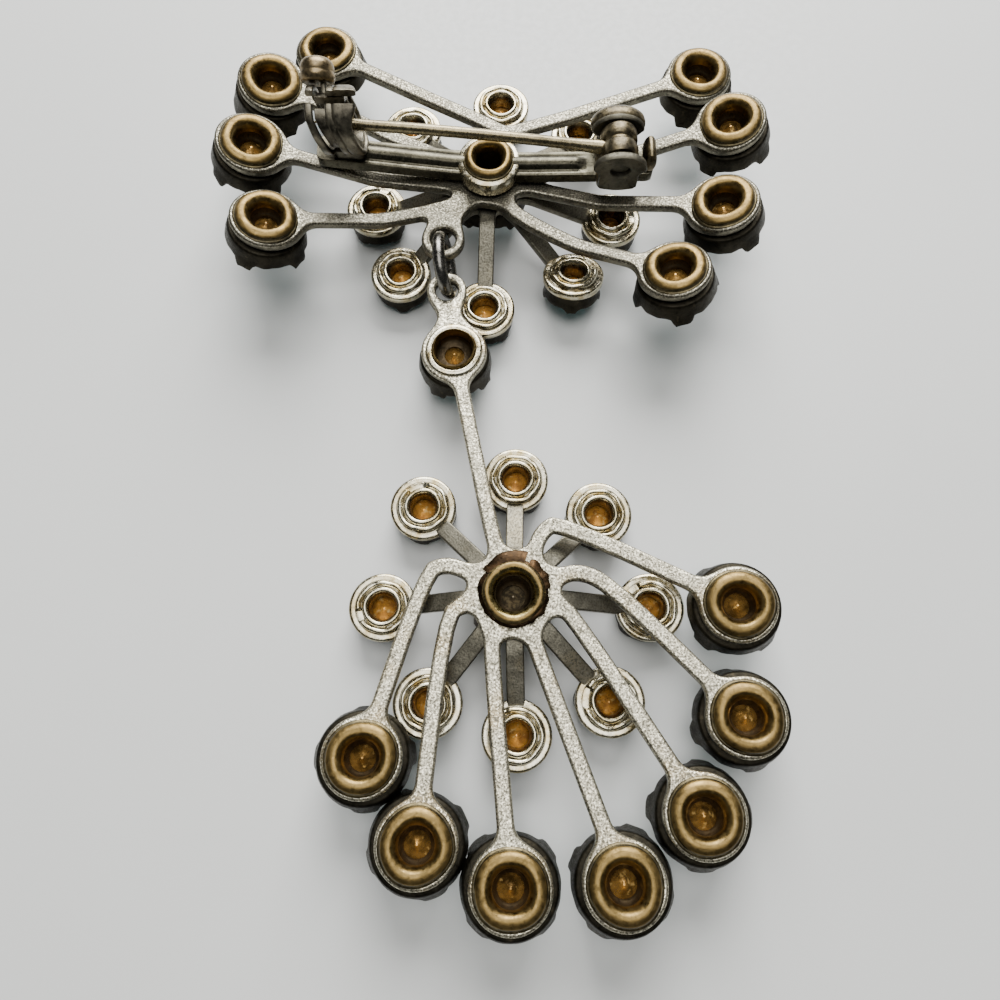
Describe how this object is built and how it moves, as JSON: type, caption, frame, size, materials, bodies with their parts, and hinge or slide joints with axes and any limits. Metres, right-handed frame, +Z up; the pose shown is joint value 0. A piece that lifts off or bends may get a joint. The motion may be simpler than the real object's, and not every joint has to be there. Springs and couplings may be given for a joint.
{
  "type": "drop brooch",
  "caption": "Drop brooch of starburst sprays with cup-set stones, a hanging fan-shaped drop, a pin bar with rollover catch and a jump ring.",
  "frame": {"origin": "centre of the box's bottom face, on the surface that the small stones rest on", "axes": "+Y from the drop toward the brooch, +Z up out of the back, with the stones facing -Z"},
  "size_m": [0.0474, 0.0756, 0.0142],
  "materials": {
    "grey_plate": "grainy grey plating over cut sheet",
    "dark_cup": "darkened brass, brassy where worn",
    "brass_rivet": "worn brass with a dark patina",
    "foiled_stone": "cut glass with an amber foil back",
    "gunmetal_ring": "dark smooth wire",
    "nickel_bar": "worn grey plating",
    "brown_stem": "smooth brownish wire",
    "brass_lever": "worn brass"
  },
  "bodies": {
    "brooch": {"brooch_centre_cup": "brass_rivet", "brooch_centre_stone": "foiled_stone", "brooch_cup_left_1": "dark_cup", "brooch_cup_left_2": "dark_cup", "brooch_cup_left_3": "dark_cup", "brooch_cup_left_4": "dark_cup", "brooch_cup_right_1": "dark_cup", "brooch_cup_right_2": "dark_cup", "brooch_cup_right_3": "dark_cup", "brooch_cup_right_4": "dark_cup", "brooch_spray": "grey_plate", "brooch_star": "grey_plate", "brooch_star_stone_1": "foiled_stone", "brooch_star_stone_2": "foiled_stone", "brooch_star_stone_3": "foiled_stone", "brooch_star_stone_4": "foiled_stone", "brooch_star_stone_5": "foiled_stone", "brooch_star_stone_6": "foiled_stone", "brooch_star_stone_7": "foiled_stone", "brooch_star_stone_8": "foiled_stone", "brooch_stone_left_1": "foiled_stone", "brooch_stone_left_2": "foiled_stone", "brooch_stone_left_3": "foiled_stone", "brooch_stone_left_4": "foiled_stone", "brooch_stone_right_1": "foiled_stone", "brooch_stone_right_2": "foiled_stone", "brooch_stone_right_3": "foiled_stone", "brooch_stone_right_4": "foiled_stone", "drop_centre_cup": "brass_rivet", "drop_centre_stone": "foiled_stone", "drop_cup_1": "dark_cup", "drop_cup_2": "dark_cup", "drop_cup_3": "dark_cup", "drop_cup_4": "dark_cup", "drop_cup_5": "dark_cup", "drop_cup_6": "dark_cup", "drop_cup_7": "dark_cup", "drop_cup_stem": "dark_cup", "drop_spray": "grey_plate", "drop_star": "grey_plate", "drop_star_stone_1": "foiled_stone", "drop_star_stone_2": "foiled_stone", "drop_star_stone_3": "foiled_stone", "drop_star_stone_4": "foiled_stone", "drop_star_stone_5": "foiled_stone", "drop_star_stone_6": "foiled_stone", "drop_star_stone_7": "foiled_stone", "drop_star_stone_8": "foiled_stone", "drop_stone_1": "foiled_stone", "drop_stone_2": "foiled_stone", "drop_stone_3": "foiled_stone", "drop_stone_4": "foiled_stone", "drop_stone_5": "foiled_stone", "drop_stone_6": "foiled_stone", "drop_stone_7": "foiled_stone", "drop_stone_stem": "foiled_stone", "jump_ring": "gunmetal_ring", "pin_bar": "nickel_bar"},
    "pin": {"pin_stem": "brown_stem"},
    "catch": {"catch_sleeve": "brass_lever"}
  },
  "joints": [
    {"name": "pin_hinge", "type": "hinge", "parent": "brooch", "child": "pin", "pos_m": [0.01038, 0.02106, 0.00918], "axis": [0, 1, 0], "range_deg": [0, 90]},
    {"name": "catch_roll", "type": "hinge", "parent": "brooch", "child": "catch", "pos_m": [-0.01362, 0.02205, 0.01103], "axis": [1, 0, 0], "range_deg": [0, 100]}
  ]
}
